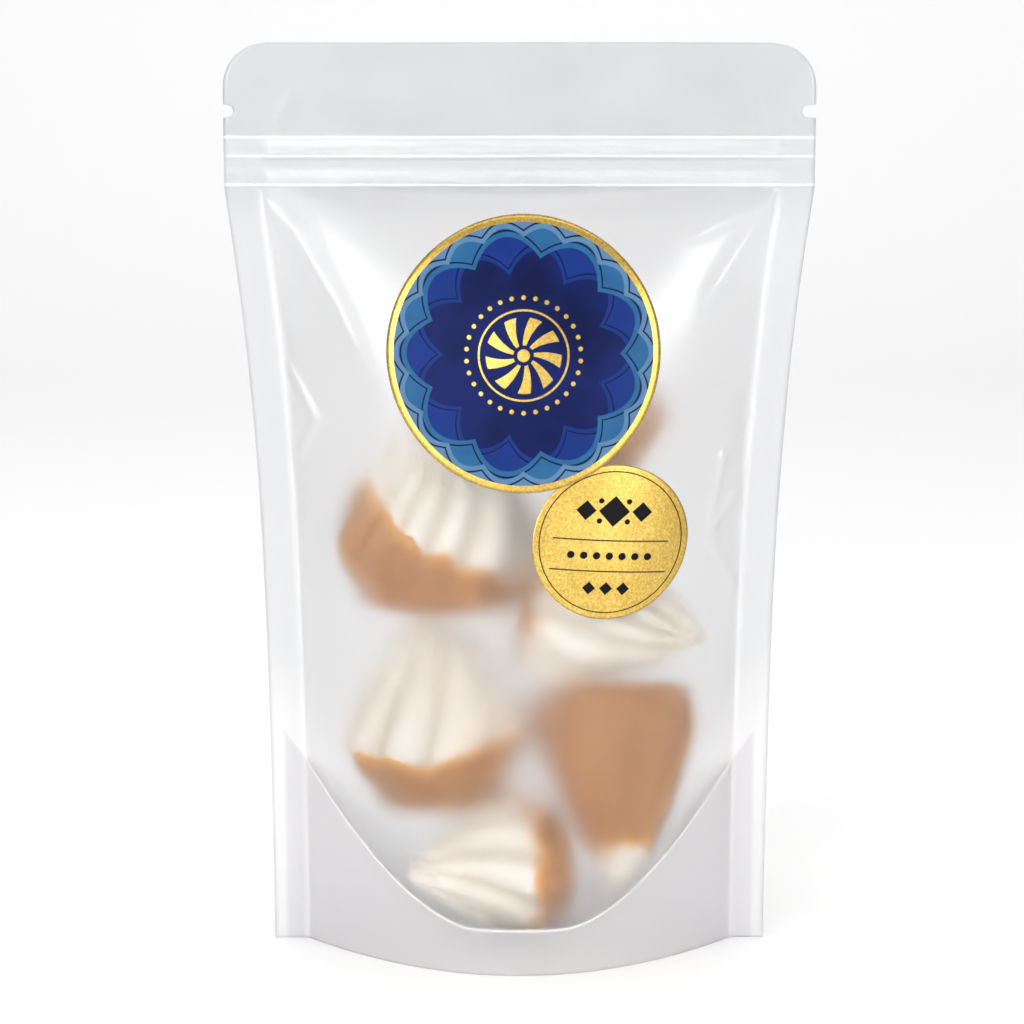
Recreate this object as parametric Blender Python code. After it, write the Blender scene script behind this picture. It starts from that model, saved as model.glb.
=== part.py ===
"""A stand-up pouch of frosted film with a press-to-close zip, sealed and filled with dipped meringue swirls.

Lengths are in metres, +Z is up and the front faces -Y. The origin is on the surface that the pouch stands on,
under its middle. The pouch is one closed solid with the film's outer shape: the flat header with its zip, the two
side seals, the filled belly, and the skirt that stands on the floor round the hollow under the bottom gusset.
The two round stickers on the front are solids of their own.
"""

import math

import bmesh
import bpy
from mathutils import Vector

# The film, measured flat
FLAT_WIDTH = 0.160
HEIGHT = 0.2515
SIDE_SEAL = 0.0095
SEALED_THICKNESS = 0.0010

# The header: rounded corners, a tear notch at each side, and the zip across it
CORNER_RADIUS = 0.012
CORNER_STEPS = 8
NOTCH_HEIGHT = 0.2328
NOTCH_DEPTH = 0.0036
NOTCH_RADIUS = 0.0016
NOTCH_STEPS = 8
ZIP_BOTTOM = 0.2129
# Height above the zip's lower edge, and how far the zip stands out of the header there
ZIP_PROFILE = (
    (0.0, 0.0),
    (0.0006, 0.0006),
    (0.0040, 0.0006),
    (0.0048, 0.0002),
    (0.0067, 0.0002),
    (0.0077, 0.0012),
    (0.0086, 0.0006),
    (0.0122, 0.0006),
    (0.0129, 0.0),
)

# The belly: how far the filled film bows out, and how quickly it does so below the zip
BELLY_DEPTH = 0.0346
BELLY_RISE = 0.058
BELLY_ROUNDING = 0.60
BODY_ROWS = 22
ROW_CROWDING = 1.7
HEADER_ROWS = (0.2290, 0.2365, HEIGHT)
COLUMNS = 20

# The bottom gusset: a trough that leaves the front and back film along a U-shaped seal
GUSSET_SEAL_HEIGHT = 0.0125
GUSSET_FLAT_HALF = 0.012
GUSSET_RISE = 0.0365
GUSSET_REACH = 0.0453
GUSSET_CURVE = 1.64
GUSSET_SAG = 0.0105
GUSSET_COLUMNS = 20
GUSSET_DEPTH_STEPS = 6
SKIRT_WALL = 0.0010
NARROWEST_POCKET = 0.0006
BELOW_FLOOR = 0.002

# The stickers: centre across and up, radius, and how they lie on the film
LABEL_GAP = 0.0004
LABEL_THICKNESS = 0.0004
LARGE_LABEL = {"x": 0.0011, "z": 0.1697, "radius": 0.0369, "rings": 7, "steps": 56}
SMALL_LABEL = {"x": 0.0246, "z": 0.1195, "radius": 0.0212, "rings": 5, "steps": 40}
LABELS_APART = 0.0004


def clear_scene():
    for obj in list(bpy.data.objects):
        bpy.data.objects.remove(obj, do_unlink=True)


def film_sag(z):
    """How far the film bows out of the middle plane at this height, on the centre line."""
    below_zip = ZIP_BOTTOM - z
    if below_zip <= 0:
        return 0.0
    return BELLY_DEPTH * (1 - math.exp(-below_zip / BELLY_RISE)) ** BELLY_ROUNDING


def bowed_length(half_chord, sag):
    """Length of a parabola of this half chord and sag, from end to end."""
    root = math.hypot(half_chord, 2 * sag)
    return root + half_chord**2 / (2 * sag) * math.asinh(2 * sag / half_chord)


def half_chord(z):
    """Half the distance between the side seals: the film can't stretch, so a deep belly draws the seals in."""
    sag = film_sag(z)
    film_length = FLAT_WIDTH - 2 * SIDE_SEAL
    if sag < 1e-5:
        return film_length / 2
    low, high = film_length / 4, film_length / 2
    for _ in range(40):
        middle = (low + high) / 2
        if bowed_length(middle, sag) < film_length:
            low = middle
        else:
            high = middle
    return low


def zip_relief(z):
    """How far the zip stands out of the header at this height."""
    height = z - ZIP_BOTTOM
    for (low, low_out), (high, high_out) in zip(ZIP_PROFILE, ZIP_PROFILE[1:]):
        if low <= height <= high:
            return low_out + (high_out - low_out) * (height - low) / (high - low)
    return 0.0


def half_depth(x, z):
    """Distance of the film from the middle plane between the side seals."""
    across = min(abs(x) / half_chord(z), 1.0)
    return SEALED_THICKNESS / 2 + film_sag(z) * (1 - across**2) + zip_relief(z)


def gusset_seal(x):
    """Height of the U-shaped seal where the gusset leaves the front and back film."""
    beyond = max(abs(x) - GUSSET_FLAT_HALF, 0.0)
    return GUSSET_SEAL_HEIGHT + GUSSET_RISE * (beyond / GUSSET_REACH) ** GUSSET_CURVE


def film_rows():
    """Heights of the grid's rows, closest together just under the zip where the film curves most."""
    body = [ZIP_BOTTOM * (1 - (k / BODY_ROWS) ** ROW_CROWDING) for k in range(BODY_ROWS, 0, -1)]
    body[0] = 0.0
    zip_band = [ZIP_BOTTOM + height for height, _ in ZIP_PROFILE]
    return body + zip_band + list(HEADER_ROWS)


def film_point(column, z, side):
    """A point of the front (side -1) or back (side 1) film. The first and last columns are the pouch's edges."""
    chord = half_chord(z)
    if column in (0, COLUMNS + 2):
        edge = math.copysign(chord + SIDE_SEAL, column - 1)
        return Vector((edge, side * SEALED_THICKNESS / 2, z))
    across = 2 * (column - 1) / COLUMNS - 1
    depth = half_depth(across * chord, z)
    if abs(across) > 0.999:
        depth = SEALED_THICKNESS / 2
    return Vector((across * chord, side * depth, z))


def add_film_sheet(bm, side):
    """One film of the pouch as a grid, from its lower edge to its top edge, and its border's edges."""
    rows = film_rows()
    made = bmesh.ops.create_grid(bm, x_segments=COLUMNS + 2, y_segments=len(rows) - 1, size=1.0)
    for vert in made["verts"]:
        column = round((vert.co.x + 1) / 2 * (COLUMNS + 2))
        row = round((vert.co.y + 1) / 2 * (len(rows) - 1))
        vert.co = film_point(column, rows[row], side)
    sheet = set(made["verts"])
    return [edge for edge in bm.edges if edge.is_boundary and edge.verts[0] in sheet]


def object_from(bm, name, material=None):
    """A named object from a bmesh, with its faces pointing out."""
    bmesh.ops.recalc_face_normals(bm, faces=bm.faces)
    mesh = bpy.data.meshes.new(name)
    bm.to_mesh(mesh)
    bm.free()
    obj = bpy.data.objects.new(name, mesh)
    bpy.context.scene.collection.objects.link(obj)
    if material is not None:
        mesh.materials.append(material)
    return obj


def as_cutter(obj, cutters):
    """Hides a cutting shape from renders and files it with the other cutters."""
    obj.hide_render = True
    obj.display_type = "WIRE"
    bpy.context.scene.collection.objects.unlink(obj)
    cutters.objects.link(obj)


def smooth(obj, angle=math.radians(35)):
    obj.data.shade_smooth()
    obj.data.set_sharp_from_angle(angle=angle)


def plain_material(name, colour, roughness, metallic=0.0, alpha=1.0):
    material = bpy.data.materials.new(name)
    material.use_nodes = True
    shader = material.node_tree.nodes["Principled BSDF"]
    shader.inputs["Base Color"].default_value = (*colour, 1.0)
    shader.inputs["Roughness"].default_value = roughness
    shader.inputs["Metallic"].default_value = metallic
    shader.inputs["Alpha"].default_value = alpha
    return material


def gusset_cutter():
    """The hollow under the gusset: its roof is the trough, and its sides stay a wall's width inside the film."""
    reach = half_chord(0.0)
    while half_depth(reach, gusset_seal(reach)) - SKIRT_WALL < NARROWEST_POCKET:
        reach -= 0.0005
    bm = bmesh.new()
    made = bmesh.ops.create_grid(bm, x_segments=GUSSET_COLUMNS, y_segments=GUSSET_DEPTH_STEPS, size=1.0)
    for vert in made["verts"]:
        along, over = vert.co.x, vert.co.y
        x = along * reach
        depth = half_depth(x, gusset_seal(x)) - SKIRT_WALL
        sag = GUSSET_SAG * (1 - along**2) * (1 - over**2)
        vert.co = Vector((x, over * depth, gusset_seal(x) - sag))
    floor = bmesh.ops.extrude_face_region(bm, geom=bm.faces[:])
    for item in floor["geom"]:
        if isinstance(item, bmesh.types.BMVert):
            item.co.z = -BELOW_FLOOR
    return object_from(bm, "gusset_hollow")


def prism(name, outline, half_width):
    """A closed prism along Y from an outline of (x, z) points."""
    bm = bmesh.new()
    face = bm.faces.new([bm.verts.new((x, -half_width, z)) for x, z in outline])
    swept = bmesh.ops.extrude_face_region(bm, geom=[face])
    moved = [item for item in swept["geom"] if isinstance(item, bmesh.types.BMVert)]
    bmesh.ops.translate(bm, verts=moved, vec=(0, 2 * half_width, 0))
    return object_from(bm, name)


def corner_cutter(side):
    """What the rounded top corner takes off the header, on the side with this sign."""
    margin = 0.002
    centre_x, centre_z = FLAT_WIDTH / 2 - CORNER_RADIUS, HEIGHT - CORNER_RADIUS
    arc = []
    for step in range(CORNER_STEPS + 1):
        angle = math.pi / 2 * step / CORNER_STEPS
        arc.append((centre_x + CORNER_RADIUS * math.cos(angle), centre_z + CORNER_RADIUS * math.sin(angle)))
    outside = [
        (centre_x, HEIGHT + margin),
        (FLAT_WIDTH / 2 + margin, HEIGHT + margin),
        (FLAT_WIDTH / 2 + margin, centre_z),
    ]
    outline = [(side * x, z) for x, z in arc + outside]
    return prism(f"corner_{side:+d}", outline, SEALED_THICKNESS)


def notch_cutter(side):
    """The round-ended tear notch on the side with this sign."""
    margin = 0.002
    centre_x = FLAT_WIDTH / 2 - NOTCH_DEPTH + NOTCH_RADIUS
    outline = [(FLAT_WIDTH / 2 + margin, NOTCH_HEIGHT - NOTCH_RADIUS)]
    for step in range(NOTCH_STEPS + 1):
        angle = -math.pi / 2 - math.pi * step / NOTCH_STEPS
        outline.append(
            (centre_x + NOTCH_RADIUS * math.cos(angle), NOTCH_HEIGHT + NOTCH_RADIUS * math.sin(angle))
        )
    outline.append((FLAT_WIDTH / 2 + margin, NOTCH_HEIGHT + NOTCH_RADIUS))
    return prism(f"notch_{side:+d}", [(side * x, z) for x, z in outline], SEALED_THICKNESS)


def cut(obj, cutters):
    modifier = obj.modifiers.new("cuts", "BOOLEAN")
    modifier.operation = "DIFFERENCE"
    modifier.operand_type = "COLLECTION"
    modifier.collection = cutters


def make_pouch():
    """The pouch from its two films, joined round their border, with corners, notches and gusset cut out."""
    bm = bmesh.new()
    border = add_film_sheet(bm, -1)
    border += add_film_sheet(bm, 1)
    bmesh.ops.bridge_loops(bm, edges=border)
    film = plain_material("frosted_film", (0.86, 0.86, 0.88), 0.45, alpha=0.7)
    pouch = object_from(bm, "pouch", film)
    smooth(pouch)
    cutters = bpy.data.collections.new("pouch_cutters")
    bpy.context.scene.collection.children.link(cutters)
    as_cutter(gusset_cutter(), cutters)
    for side in (-1, 1):
        as_cutter(corner_cutter(side), cutters)
        as_cutter(notch_cutter(side), cutters)
    cut(pouch, cutters)
    return pouch


def upright_radius(label):
    """Half a sticker's height: a little under its radius, because the film under it leans back."""
    radius = label["radius"]
    lean = math.atan2(film_sag(label["z"] - radius) - film_sag(label["z"] + radius), 2 * radius)
    return radius * math.cos(lean)


def label_point(label, radius, angle, stand_off):
    """A point of a sticker that follows the front film, stand_off away from it, from the sticker's centre."""
    x = label["x"] + radius * math.cos(angle)
    z = label["z"] + radius * math.sin(angle) * upright_radius(label) / label["radius"]
    centre_depth = half_depth(label["x"], label["z"])
    return Vector((x - label["x"], centre_depth - half_depth(x, z) - stand_off, z - label["z"]))


def label_location(label):
    return Vector((label["x"], -half_depth(label["x"], label["z"]), label["z"]))


def make_label(name, label, colour, roughness, metallic):
    """A round sticker bent over the belly, with its origin on the film at the sticker's centre."""
    bm = bmesh.new()
    earlier = set()
    for stand_off in (LABEL_GAP, LABEL_GAP + LABEL_THICKNESS):
        bmesh.ops.create_circle(bm, cap_ends=True, cap_tris=True, segments=label["steps"], radius=1.0)
        disc = set(bm.faces) - earlier
        spokes = [edge for edge in bm.edges if not edge.is_boundary and edge.link_faces[0] in disc]
        bmesh.ops.subdivide_edges(bm, edges=spokes, cuts=label["rings"] - 1)
        disc = set(bm.faces) - earlier
        for vert in {vert for face in disc for vert in face.verts}:
            radius, angle = math.hypot(vert.co.x, vert.co.y), math.atan2(vert.co.y, vert.co.x)
            vert.co = label_point(label, radius * label["radius"], angle, stand_off)
        earlier |= disc
    bmesh.ops.bridge_loops(bm, edges=[edge for edge in bm.edges if edge.is_boundary])
    bmesh.ops.triangulate(bm, faces=bm.faces)
    obj = object_from(bm, name, plain_material(name + "_print", colour, roughness, metallic))
    obj.location = label_location(label)
    smooth(obj)
    return obj


def trim_small_label(small):
    """The large sticker laps over the small one, so the small one stops just short of its edge."""
    across = LARGE_LABEL["radius"] + LABELS_APART
    up = upright_radius(LARGE_LABEL) + LABELS_APART
    outline = []
    for step in range(LARGE_LABEL["steps"]):
        angle = 2 * math.pi * step / LARGE_LABEL["steps"]
        x = LARGE_LABEL["x"] + across * math.cos(angle)
        outline.append((x, LARGE_LABEL["z"] + up * math.sin(angle)))
    cutter = prism("large_label_outline", outline, 2 * BELLY_DEPTH)
    cutters = bpy.data.collections.new("label_cutters")
    bpy.context.scene.collection.children.link(cutters)
    as_cutter(cutter, cutters)
    cut(small, cutters)


def main():
    clear_scene()
    stand = bpy.data.objects.new("stand_point", None)
    bpy.context.scene.collection.objects.link(stand)
    pouch = make_pouch()
    large = make_label("label_large", LARGE_LABEL, (0.02, 0.03, 0.13), 0.35, 0.0)
    small = make_label("label_small", SMALL_LABEL, (0.72, 0.50, 0.14), 0.35, 0.9)
    trim_small_label(small)
    for piece in (pouch, large, small):
        piece.parent = stand


main()
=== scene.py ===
import math

import bmesh
import bpy
import numpy as np
from mathutils import Matrix, Vector


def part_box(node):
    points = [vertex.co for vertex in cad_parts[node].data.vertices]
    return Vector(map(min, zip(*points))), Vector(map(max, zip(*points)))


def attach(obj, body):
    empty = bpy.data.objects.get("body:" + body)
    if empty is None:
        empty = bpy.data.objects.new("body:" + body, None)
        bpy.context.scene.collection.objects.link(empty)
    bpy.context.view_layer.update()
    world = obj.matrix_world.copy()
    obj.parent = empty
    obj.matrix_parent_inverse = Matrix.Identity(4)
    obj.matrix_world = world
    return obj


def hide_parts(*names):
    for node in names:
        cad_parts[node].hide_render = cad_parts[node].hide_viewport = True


# Stand-up pouch of frosted film with six dipped meringue swirls in it
# Metres, +Z up, the front faces -Y

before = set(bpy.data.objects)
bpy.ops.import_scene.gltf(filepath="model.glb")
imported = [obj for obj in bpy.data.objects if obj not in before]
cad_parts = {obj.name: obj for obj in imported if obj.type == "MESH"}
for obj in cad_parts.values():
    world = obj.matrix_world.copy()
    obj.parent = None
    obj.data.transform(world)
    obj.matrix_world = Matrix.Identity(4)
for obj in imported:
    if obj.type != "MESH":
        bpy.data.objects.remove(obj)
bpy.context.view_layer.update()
pouchLow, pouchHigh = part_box("pouch")
pouchWidth = pouchHigh[0] - pouchLow[0]
pouchHeight = pouchHigh[2]
print("frame loaded, pouch", round(pouchWidth, 4), "wide and", round(pouchHeight, 4), "high")


# Camera and light

camera = {
    "aside": -0.0020,       # stands a little left of the pouch's middle
    "distance": 1.0,
    "elevation": 11.283,    # degrees above level
    "aimHeight": 0.12243,
    "focalPixels": 3624.65, # focal length in pixels of the 1024 frame
    "sensor": 36.0,
    "framePixels": 1024,
}

lights = {
    "worldStrength": 0.58,
    "worldColour": (1.0, 1.0, 1.0),
    # name: place, aim, size, watts, colour
    "soft": {
        "back": ((0.0, 0.35, 1.30), (0.0, 0.80, 0.0), 1.20, 9.0, (1.0, 1.0, 1.0)),
        "left": ((-0.80, -0.80, 0.42), (0.0, 0.0, 0.11), 0.40, 7.0, (1.0, 1.0, 1.0)),
        "right": ((0.85, -0.75, 0.38), (0.0, 0.0, 0.11), 0.32, 6.0, (1.0, 0.998, 0.995)),
        "front": ((-0.30, -1.30, 0.55), (0.0, 0.0, 0.11), 0.60, 5.6, (1.0, 1.0, 1.0)),
        "low": ((0.28, -0.90, 0.14), (0.01, 0.0, 0.03), 0.30, 0.6, (1.0, 1.0, 1.0)),
    },
}


def addCamera():
    lens = bpy.data.cameras.new("camera")
    lens.sensor_fit = "HORIZONTAL"
    lens.sensor_width = camera["sensor"]
    lens.lens = camera["focalPixels"] / camera["framePixels"] * camera["sensor"]
    viewer = bpy.data.objects.new("camera", lens)
    bpy.context.scene.collection.objects.link(viewer)
    tilt = math.radians(camera["elevation"])
    viewer.location = (
        camera["aside"],
        -camera["distance"] * math.cos(tilt),
        camera["aimHeight"] + camera["distance"] * math.sin(tilt),
    )
    viewer.rotation_euler = (math.pi / 2 - tilt, 0, 0)
    bpy.context.scene.camera = viewer


def addLights():
    world = bpy.data.worlds.new("studio")
    world.use_nodes = True
    background = world.node_tree.nodes["Background"]
    background.inputs["Color"].default_value = (*lights["worldColour"], 1)
    background.inputs["Strength"].default_value = lights["worldStrength"]
    bpy.context.scene.world = world
    for name, (place, aim, size, watts, colour) in lights["soft"].items():
        lamp = bpy.data.lights.new(name, "AREA")
        lamp.shape = "SQUARE"
        lamp.size = size
        lamp.energy = watts
        lamp.color = colour
        holder = bpy.data.objects.new(name, lamp)
        holder.location = place
        holder.rotation_euler = (Vector(aim) - Vector(place)).to_track_quat("-Z", "Y").to_euler()
        bpy.context.scene.collection.objects.link(holder)
    bpy.context.scene.view_settings.view_transform = "Standard"


# Mesh helpers

def newPiece(name, mesh, materials, smooth=True):
    piece = bpy.data.objects.new(name, mesh)
    bpy.context.scene.collection.objects.link(piece)
    for material in materials:
        mesh.materials.append(material)
    if smooth:
        mesh.shade_smooth()
    return piece


# a grid whose points are put in place by a function of their column and row
def gridMesh(name, columns, rows, place):
    sheet = bmesh.new()
    bmesh.ops.create_grid(sheet, x_segments=columns, y_segments=rows, size=1.0)
    mesh = bpy.data.meshes.new(name)
    sheet.to_mesh(mesh)
    sheet.free()
    spots = readPoints(mesh)
    column = np.rint((spots[:, 0] + 1) / 2 * columns).astype(int)
    row = np.rint((spots[:, 1] + 1) / 2 * rows).astype(int)
    writePoints(mesh, place(column, row))
    return mesh


def readPoints(mesh):
    spots = np.empty(len(mesh.vertices) * 3)
    mesh.vertices.foreach_get("co", spots)
    return spots.reshape(-1, 3)


def writePoints(mesh, spots):
    mesh.vertices.foreach_set("co", np.asarray(spots, dtype=np.float64).ravel())
    mesh.update()


def thicken(piece, thickness, backMaterial=0):
    wall = piece.modifiers.new("wall", "SOLIDIFY")
    wall.thickness = thickness
    wall.offset = 0
    wall.material_offset = backMaterial


def smoothStep(low, high, value):
    part = np.clip((value - low) / (high - low), 0, 1)
    return part * part * (3 - 2 * part)


# Material helpers

class Bench:
    # keeps a material's nodes and links at hand while its pattern is put together

    def __init__(self, name):
        self.material = bpy.data.materials.new(name)
        self.material.use_nodes = True
        self.nodes = self.material.node_tree.nodes
        self.links = self.material.node_tree.links
        self.shader = self.nodes["Principled BSDF"]

    def plug(self, value, socket):
        if isinstance(value, (int, float, tuple)):
            socket.default_value = value
        else:
            self.links.new(value, socket)

    def objectSpots(self):
        return self.nodes.new("ShaderNodeTexCoord").outputs["Object"]

    def work(self, operation, *values):
        node = self.nodes.new("ShaderNodeMath")
        node.operation = operation
        for value, socket in zip(values, node.inputs):
            self.plug(value, socket)
        return node.outputs[0]

    def noise(self, spots, scale, detail=2.0, roughness=0.5):
        node = self.nodes.new("ShaderNodeTexNoise")
        node.inputs["Scale"].default_value = scale
        node.inputs["Detail"].default_value = detail
        node.inputs["Roughness"].default_value = roughness
        self.links.new(spots, node.inputs["Vector"])
        return node.outputs["Fac"]

    def remap(self, value, fromLow, fromHigh, low, high):
        node = self.nodes.new("ShaderNodeMapRange")
        ends = {"From Min": fromLow, "From Max": fromHigh, "To Min": low, "To Max": high}
        for key, number in ends.items():
            self.plug(number, node.inputs[key])
        self.plug(value, node.inputs["Value"])
        return node.outputs["Result"]

    # 1 where the value is over the edge, 0 under it
    def over(self, value, edge, soft=0.004):
        difference = self.work("SUBTRACT", value, edge)
        return self.remap(difference, -soft, soft, 0.0, 1.0)

    def under(self, value, edge, soft=0.004):
        return self.work("SUBTRACT", 1.0, self.over(value, edge, soft))

    def both(self, first, second):
        return self.work("MULTIPLY", first, second)

    def either(self, first, second):
        return self.work("MAXIMUM", first, second)

    def blend(self, share, first, second):
        node = self.nodes.new("ShaderNodeMix")
        node.data_type = "RGBA"
        self.plug(share, node.inputs[0])
        self.plug(first, node.inputs[6])
        self.plug(second, node.inputs[7])
        return node.outputs[2]

    def bump(self, height, strength, distance):
        node = self.nodes.new("ShaderNodeBump")
        node.inputs["Strength"].default_value = strength
        node.inputs["Distance"].default_value = distance
        self.links.new(height, node.inputs["Height"])
        self.links.new(node.outputs["Normal"], self.shader.inputs["Normal"])


def pointValue(bench, kind):
    node = bench.nodes.new("ShaderNodeAttribute")
    node.attribute_name = kind
    return node.outputs["Fac"]


def bandMask(bench, value, middle, half, soft=0.003):
    return bench.under(bench.work("ABSOLUTE", bench.work("SUBTRACT", value, middle)), half, soft)


# Frosted film

film = {
    "sideSeal": 0.0095,       # width of the welded strip down each side
    "thickness": 0.00016,
    "layerGap": 0.00012,      # air between welded layers
    "zipBottom": 0.2129,
    "belly": 0.0346,          # how far the filled film bows out
    "bellyRise": 0.058,
    "bellyRounding": 0.60,
    "topInset": 0.0003,       # the film ends this far under the top of the pouch's box
    "cornerRadius": 0.012,
    "notchHeight": 0.2328,
    "notchRadius": 0.0016,
    "notchLeft": 0.0027,
    "notchRight": 0.0038,
    "headerInset": 0.004,     # where the body's columns end beside the header's edge
    "sealColumns": 6,
    "bodyColumns": 150,
    "columnEase": 0.70,       # columns lie closer together towards the seals
    # height that a stretch of rows starts at, and its row spacing
    "rowStretches": (
        (0.0, 0.0009),
        (0.010, 0.0006),
        (0.017, 0.0010),
        (0.062, 0.0011),
        (0.2110, 0.0004),
        (0.2270, 0.0014),
        (0.2308, 0.0002),
        (0.2348, 0.0014),
        (0.2395, 0.0006),
    ),
    "tint": (0.835, 0.838, 0.846),
    "bodyTint": (0.905, 0.906, 0.911),
    "bodyFade": (0.004, 0.006), # how far under the zip the body's tint begins, and how softly
    "lowTint": (0.97, 0.97, 0.973), # the belly's lowest stretch, clearer towards the gusset's weld
    "lowReach": 0.024,
    "zipTint": (0.885, 0.888, 0.894),
    "gussetTint": (0.965, 0.965, 0.968),
    "skirtTint": (0.825, 0.82, 0.828),
    "skirtWhite": 0.20,       # how much of the skirt's two welded layers is white rather than clear
    "ior": 1.2,
    "gussetIor": 1.04,
    "gussetClear": 0.95,
    "gussetRoughness": 0.45,
    "paler": 0.03,            # how much paler the film is where its frosting is thickest
    "roughness": (0.70, 0.77),
    "coat": 0.48,
    "coatRoughness": 0.24,
}

gusset = {
    "sealHeight": 0.0125,     # the U-shaped seal where the gusset leaves the front and back film
    "flatHalf": 0.012,
    "rise": 0.0365,
    "reach": 0.0453,
    "curve": 1.64,
    "sag": 0.0098,
    "columns": 110,
    "rows": 48,
    "columnEase": 0.85,
    "measuredAt": 0.045,      # height at which the trough's width is measured
    "endGap": 0.0012,
    "weldHalf": 0.0595,       # the white line along the weld, partly real whitening and partly painted highlight, ends here
    "skirtHalf": 0.0655,      # and the skirt here
}


def filmSag(z):
    below = np.maximum(film["zipBottom"] - z, 0.0)
    return film["belly"] * (1 - np.exp(-below / film["bellyRise"])) ** film["bellyRounding"]


# half the distance between the side seals: a film that can't stretch draws them in as it bows out
def halfChord(z):
    sag = np.maximum(filmSag(z), 1e-6)
    flat = pouchWidth - 2 * film["sideSeal"]
    low = np.full_like(sag, flat / 4)
    high = np.full_like(sag, flat / 2)
    for step in range(32):
        middle = (low + high) / 2
        arc = np.hypot(middle, 2 * sag) + middle**2 / (2 * sag) * np.arcsinh(2 * sag / middle)
        low = np.where(arc < flat, middle, low)
        high = np.where(arc < flat, high, middle)
    return low


# distance of the smooth film from the middle plane between the side seals
def filmDepth(x, z):
    across = np.clip(np.abs(x) / halfChord(z), 0, 1)
    return filmSag(z) * (1 - across**2)


def gussetSeal(x):
    beyond = np.maximum(np.abs(x) - gusset["flatHalf"], 0.0)
    return gusset["sealHeight"] + gusset["rise"] * (beyond / gusset["reach"]) ** gusset["curve"]


def rowHeights():
    stretches = film["rowStretches"]
    ends = [start for start, spacing in stretches[1:]] + [pouchHeight - film["topInset"]]
    heights = []
    for (start, spacing), end in zip(stretches, ends):
        count = max(1, round((end - start) / spacing))
        heights += [start + (end - start) * step / count for step in range(count)]
    return np.array(heights + [ends[-1]])


# distance of the pouch's edge from its middle, with its round top corner and its tear notch
def edgeAt(z, notchDepth):
    edge = halfChord(z) + film["sideSeal"]
    radius = film["cornerRadius"]
    past = np.clip(z - (pouchHeight - film["topInset"] - radius), 0, radius)
    edge = edge - (radius - np.sqrt(radius**2 - past**2))
    notch = film["notchRadius"]
    away = np.abs(z - film["notchHeight"])
    cut = notchDepth - notch + np.sqrt(np.maximum(notch**2 - away**2, 0))
    return np.where(away < notch, edge - cut, edge)


# where a column of the film's grid lies across the pouch at this height
def acrossFilm(column, z):
    seal, body = film["sealColumns"], film["bodyColumns"]
    last = 2 * seal + body
    inner = np.minimum(halfChord(z), edgeAt(z, 0.0) - film["headerInset"])
    left, right = edgeAt(z, film["notchLeft"]), edgeAt(z, film["notchRight"])
    fromLeft = -(left + (inner - left) * column / seal)
    fromRight = right + (inner - right) * (last - column) / seal
    widest = math.pi / 2 * film["columnEase"]
    between = inner * np.sin(widest * (2 * (column - seal) / body - 1)) / math.sin(widest)
    return np.where(column < seal, fromLeft, np.where(column > last - seal, fromRight, between))


# the whole way from the middle plane out to the film's own middle, folds and all
def filmStand(x, z, side):
    depth = film["layerGap"] / 2 + film["thickness"] / 2 + filmDepth(x, z)
    return depth + zipRelief(x, z) + sealRelief(x, z) + filmFolds(x, z, side)


# the flat parts aren't quite flat: the header and the side seals wander a little
waves = {
    "header": 0.0006,
    "headerFrom": (0.205, 0.235),  # heights where the header's wave fades in
    "edge": 0.0005,
    "edgeFrom": (0.050, 0.080),    # distance from the middle where the seals' wave fades in
    "edgeTop": (0.20, 0.215),
}


def middleWave(x, z):
    wave = np.sin(x * 55 + 0.7) + 0.5 * np.sin(x * 120 + z * 90)
    header = smoothStep(*waves["headerFrom"], z) * waves["header"] * wave
    edge = smoothStep(*waves["edgeFrom"], np.abs(x)) * waves["edge"] * np.sin(z * 70 + np.sign(x) * 0.9)
    return header + edge * (1 - smoothStep(*waves["edgeTop"], z))


# the front film has side -1, the back film side 1
def filmMesh(name, side):
    heights = rowHeights()
    columns = 2 * film["sealColumns"] + film["bodyColumns"]

    def place(column, row):
        z = heights[row]
        x = acrossFilm(column, z)
        return np.column_stack((x, side * filmStand(x, z, side) + middleWave(x, z), z))

    return gridMesh(name, columns, len(heights) - 1, place)


# Zip and welded lines

zipStrip = {
    "middle": 0.0012,         # fused a little to the right
    "half": 0.0698,
    # heights above the zip's lower weld, and how far the film stands out there
    "profile": (
        (-0.0007, 0.0), (-0.0002, 0.00030), (0.0003, 0.00012), (0.0008, 0.00030), (0.0022, 0.00062),
        (0.0038, 0.00045), (0.0046, 0.00012), (0.0066, 0.00012), (0.0074, 0.00080), (0.0082, 0.00080),
        (0.0088, 0.00040), (0.0104, 0.00066), (0.0120, 0.00035), (0.0126, 0.00012), (0.0130, 0.00030),
        (0.0136, 0.0),
    ),
    # the plastic inside the film on each side of the groove: heights and half thickness
    "bars": {
        "low": (
            (0.0005, 0.00004), (0.0009, 0.00020), (0.0022, 0.00048), (0.0036, 0.00034), (0.0043, 0.00004),
        ),
        "high": (
            (0.0071, 0.00004), (0.0074, 0.00068), (0.0082, 0.00068), (0.0088, 0.00028), (0.0104, 0.00052),
            (0.0118, 0.00022), (0.0123, 0.00004),
        ),
    },
    "columns": 40,
    "barInset": 0.0004,       # the plastic ends this far inside the strip
    "crushed": 0.75,          # share of the relief that is crushed flat at the strip's ends
    "flangeMiddle": 0.0064,   # height of the tinted band over the lower weld, and half its height
    "flangeHalf": 0.0066,
    "whites": ((0.95, 0.95, 0.955, 1), (0.98, 0.98, 0.98, 1)),
    "clear": 0.55,
    "roughness": 0.45,
}


def zipRelief(x, z):
    heights = np.array([film["zipBottom"] + point[0] for point in zipStrip["profile"]])
    outs = np.array([point[1] for point in zipStrip["profile"]])
    relief = np.interp(z, heights, outs, left=0, right=0)
    away = np.abs(x - zipStrip["middle"])
    ends = smoothStep(zipStrip["half"] - 0.0006, zipStrip["half"] + 0.0016, away)
    return relief * (1 - zipStrip["crushed"] * ends)


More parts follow.
